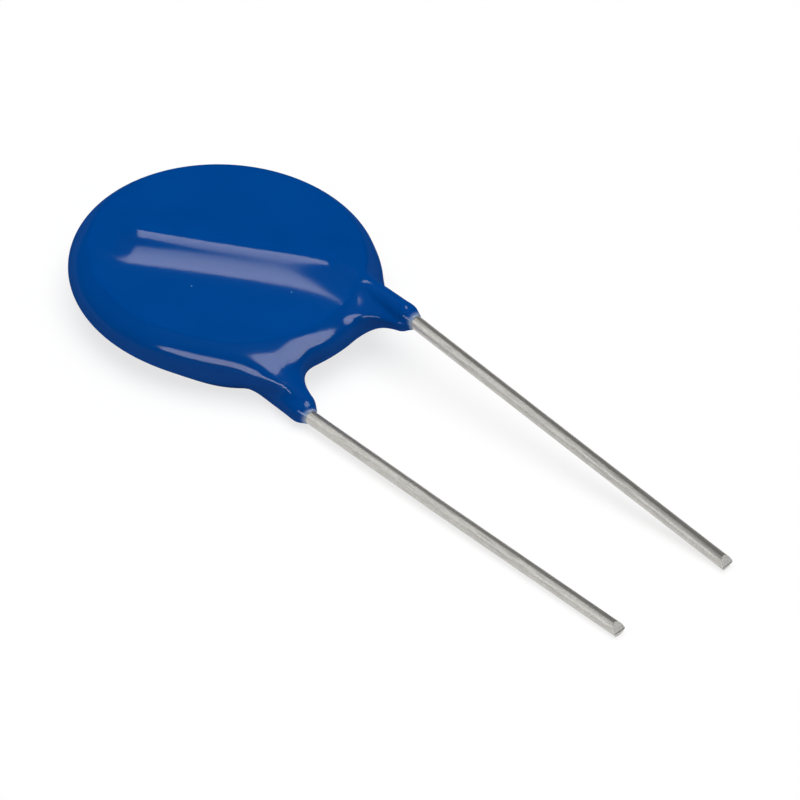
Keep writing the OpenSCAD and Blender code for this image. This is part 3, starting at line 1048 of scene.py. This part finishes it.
@dataclass
class Studio:
    """Camera, lamps, world and table.

    Attributes:
        azimuth, elevation, roll, lens: The camera's angles in degrees, and its focal length.
        distance, aim: How far it is, in metres, from the point it looks at.
        room: The grey that metal and gloss reflect.
        table_r, table_sides, cove_h, cove_bend, cove_steps: The table and the low cove at its rim.
        ceiling, coating_lamps, wire_lamps: The plain light on everything, and the lamps that only the
            coating or only the wires reflect.
    """

    fx: Effects
    azimuth: float = -46.1776
    elevation: float = 40.1299
    roll: float = 3.8854
    lens: float = 320.875
    distance: float = 0.5
    aim: Vector = field(default_factory=lambda: Vector((-0.000324, -0.002105, 0.00269)))
    room: float = 0.06
    table_r: float = 2.0
    table_sides: int = 128
    cove_h: float = 0.14
    cove_bend: float = 0.1
    cove_steps: int = 8
    ceiling: Lamp = Lamp("ceiling", 90, 0, (60, 60), 3.25, 1.0, diffuse=True, glossy=False)
    coating_lamps: tuple[Lamp, ...] = (
        Lamp("key", 65, -2, (10, 30), 29.0),
        Lamp("fill_left", 155, -15, (50, 22), 34.0, roll=-24, shape="ELLIPSE"),
        Lamp("fill_right", 118, 34, (62, 36), 34.0, roll=12, shape="ELLIPSE"))
    wire_lamps: tuple[Lamp, ...] = (
        Lamp("front", 152, 0, (100, 54), 1.0),
        Lamp("left", 88, -45, (80, 56), 1.1, roll=35),
        Lamp("back", 28, 5, (70, 60), 0.22),
        Lamp("right", 88, 50, (44, 44), 0.9))

    def place_camera(self) -> None:
        """Puts the camera at the photograph's viewing angle."""
        az, el, roll = (math.radians(v) for v in (self.azimuth, self.elevation, self.roll))
        back = Vector((math.sin(az) * math.cos(el), -math.cos(az) * math.cos(el), math.sin(el)))
        right = Vector((math.cos(az), math.sin(az), 0.0))
        up = back.cross(right)
        level = right * math.cos(roll) + up * math.sin(roll)
        top = up * math.cos(roll) - right * math.sin(roll)
        data = bpy.data.cameras.new("camera")
        data.lens = self.lens
        camera = bpy.data.objects.new("camera", data)
        bpy.context.scene.collection.objects.link(camera)
        turn = Matrix((level, top, back)).transposed()
        camera.matrix_world = Matrix.Translation(self.aim + back * self.distance) @ turn.to_4x4()
        bpy.context.scene.camera = camera

    def lay_table(self) -> None:
        """Lays the round table and raises its rim to a low cove that closes the horizon."""
        deselect()
        bpy.ops.mesh.primitive_circle_add(vertices=self.table_sides, radius=self.table_r, fill_type="NGON")
        table = bpy.context.object
        table.name = "table"
        bpy.ops.object.mode_set(mode="EDIT")
        bpy.ops.mesh.select_mode(type="EDGE")
        bpy.ops.mesh.select_all(action="SELECT")
        bpy.ops.mesh.extrude_edges_move(TRANSFORM_OT_translate={"value": (0, 0, self.cove_h)})
        bpy.ops.object.mode_set(mode="OBJECT")
        for edge in table.data.edges:
            edge.select = all(table.data.vertices[v].co.z < self.cove_h / 2 for v in edge.vertices)
        bpy.ops.object.mode_set(mode="EDIT")
        bpy.ops.mesh.bevel(offset=self.cove_bend, segments=self.cove_steps, affect="EDGES")
        bpy.ops.object.mode_set(mode="OBJECT")
        bpy.ops.object.shade_smooth_by_angle(angle=math.radians(40))
        dress(table, TableWhite("table_white", self.fx).material())

    def build(self, coating: Object, wires: list[Object]) -> None:
        """Sets up the whole studio.

        Args:
            coating: The coating, with lamps of its own.
            wires: The wires, likewise.
        """
        scene = bpy.context.scene
        scene.view_settings.view_transform = "Standard"
        self.place_camera()
        self.ceiling.build(self.azimuth, self.aim)
        for lamps, lit in ((self.coating_lamps, [coating]), (self.wire_lamps, wires)):
            group = bpy.data.collections.new(f"lit_{lit[0].name}")
            for obj in lit:
                group.objects.link(obj)
            for lamp in lamps:
                lamp.build(self.azimuth, self.aim).light_linking.receiver_collection = group
        world = bpy.data.worlds.new("room")
        world.use_nodes = True
        world.node_tree.nodes["Background"].inputs["Color"].default_value = (*(self.room,) * 3, 1)
        scene.world = world
        self.lay_table()


def main() -> None:
    """Builds and dresses the part."""
    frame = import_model()
    low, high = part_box("epoxy_coating")
    mid_z = (low.z + high.z) / 2
    leads = {"front_lead": WirePath(Side.FRONT, tip_x=6.75, drop=0.425, mid_z=mid_z / MM),
             "rear_lead": WirePath(Side.REAR, tip_x=-3.8, drop=0.48, mid_z=mid_z / MM)}
    coat = DipCoat(leads["front_lead"])
    centre = Vector(((low.x + high.x) / 2, high.y - coat.coat_d / 2 * MM, mid_z))
    fx = Effects()
    epoxy = DippedEpoxy("blue_epoxy_mat", fx).material(centre)
    tin = TinnedWire("tinned_wire_mat", fx).material()
    cut = CutMetal("cut_metal_mat", fx).material()
    # The pinched edge at the tip gets the cut metal made nearly black: painted shade, as the thin edge
    # looks dark only from how the light falls on it.
    pinched = CutMetal("pinched_metal_painted_shade_mat", fx, bright=(0.16, 0.15, 0.14),
                       dragged=(0.08, 0.08, 0.075)).material()
    silver = FiredSurface("fired_silver_mat", fx, low=(0.74, 0.74, 0.75), high=(0.82, 0.82, 0.83),
                          roughness=(0.4, 0.55), metallic=1.0).material()
    ceramic = FiredSurface("zinc_oxide_mat", fx, low=(0.045, 0.045, 0.05), high=(0.06, 0.06, 0.065),
                           roughness=(0.6, 0.8)).material()
    solder = FiredSurface("solder_mat", fx, low=(0.5, 0.51, 0.53), high=(0.6, 0.61, 0.63),
                          roughness=(0.25, 0.4), metallic=1.0, grain=0.3, depth=0.003).material()
    node_mats = {"epoxy_coating": epoxy, "zinc_oxide_disc": ceramic, "front_electrode": silver,
                 "rear_electrode": silver, "front_solder": solder, "rear_solder": solder,
                 "front_lead": tin, "rear_lead": tin}
    for name, node in frame["nodes"].items():
        dress(node, node_mats[name])
        log.info("%s dressed", name)

    coating = coat.build(centre)
    dress(coating, epoxy)
    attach(coating, ROOT)
    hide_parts("epoxy_coating")
    log.info("%s: %d vertices", coating.name, len(coating.data.vertices))
    wires = []
    for name, path in leads.items():
        wire = Lead(path).build(centre)
        # The third slot, the pinched edge, takes the painted-shade copy of the cut metal.
        dress(wire, tin, cut, pinched)
        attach(wire, ROOT)
        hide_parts(name)
        wires.append(wire)
        log.info("%s: %d vertices", wire.name, len(wire.data.vertices))
    Studio(fx).build(coating, wires)


if __name__ == "__main__":
    logging.basicConfig(level=logging.INFO, format="%(name)s: %(message)s")
    main()
